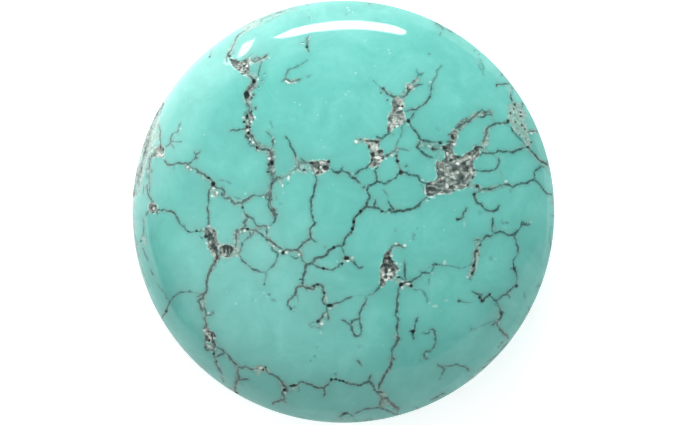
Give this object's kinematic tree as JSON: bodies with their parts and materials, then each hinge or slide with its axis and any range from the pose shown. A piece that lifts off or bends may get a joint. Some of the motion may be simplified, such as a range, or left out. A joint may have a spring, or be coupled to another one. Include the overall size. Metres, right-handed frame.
{
  "type": "turquoise cabochon",
  "caption": "Polished round turquoise stone with a low domed face, dark matrix veins and shallow crusty pockets, and a flat back to rest or set on.",
  "frame": {"origin": "centre of the flat back, which is the lowest face", "axes": "+Z out of the domed face, +Y towards the top of the picture, +X towards its right"},
  "size_m": [0.03, 0.03, 0.0078],
  "materials": {
    "turquoise": "polished blue-green turquoise with dark matrix veins"
  },
  "bodies": {
    "root": {"turquoise_stone": "turquoise"}
  },
  "joints": []
}
